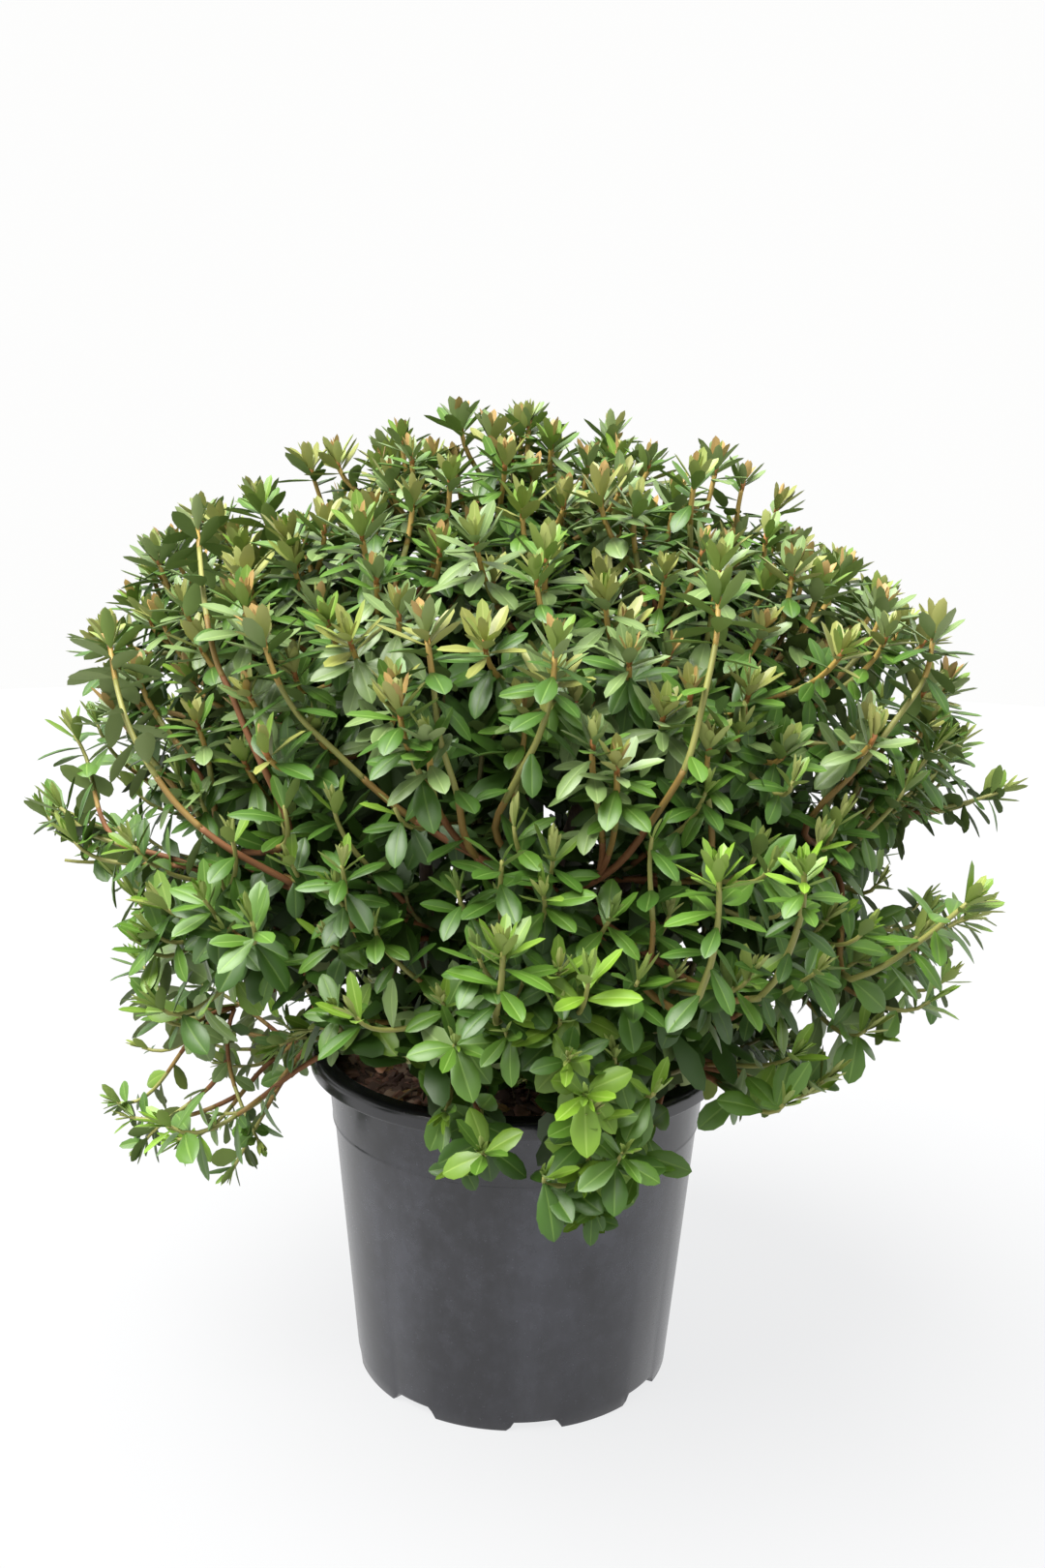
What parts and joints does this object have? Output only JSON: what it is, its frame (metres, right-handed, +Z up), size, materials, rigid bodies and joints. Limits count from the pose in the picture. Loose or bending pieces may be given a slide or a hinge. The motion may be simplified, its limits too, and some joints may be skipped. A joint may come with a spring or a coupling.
{
  "type": "azalea shrub in a pot",
  "caption": "Round, dense evergreen azalea shrub out of flower, standing in a tapered black plastic nursery pot filled with bark-based growing medium.",
  "frame": {"origin": "middle of the pot's flat underside", "axes": "+Z up along the pot's axis, -Y towards the plant's front, +X to its right as seen from the front"},
  "size_m": [0.8618, 0.8271, 0.84],
  "materials": {
    "pot": "satin",
    "medium": "matte",
    "bark": "matte",
    "foliage": "satin"
  },
  "bodies": {
    "root": {"pot": "pot", "growing_medium": "medium", "trunk": "bark", "main_bough_top": "bark", "main_bough_1": "bark", "main_bough_2": "bark", "main_bough_3": "bark", "main_bough_4": "bark", "main_bough_5": "bark", "main_bough_6": "bark", "upper_bough_1": "bark", "upper_bough_2": "bark", "upper_bough_3": "bark", "upper_bough_4": "bark", "upper_bough_5": "bark", "skirt_bough_1": "bark", "skirt_bough_2": "bark", "skirt_bough_3": "bark", "skirt_bough_4": "bark", "skirt_bough_5": "bark", "skirt_bough_6": "bark", "foliage_crown_top_1": "foliage", "foliage_upper_1": "foliage", "foliage_upper_2": "foliage", "foliage_upper_3": "foliage", "foliage_upper_4": "foliage", "foliage_upper_5": "foliage", "foliage_middle_1": "foliage", "foliage_middle_2": "foliage", "foliage_middle_3": "foliage", "foliage_middle_4": "foliage", "foliage_middle_5": "foliage", "foliage_middle_6": "foliage", "foliage_skirt_1": "foliage", "foliage_skirt_2": "foliage", "foliage_skirt_3": "foliage", "foliage_skirt_4": "foliage", "foliage_skirt_5": "foliage", "foliage_skirt_6": "foliage"}
  },
  "joints": []
}
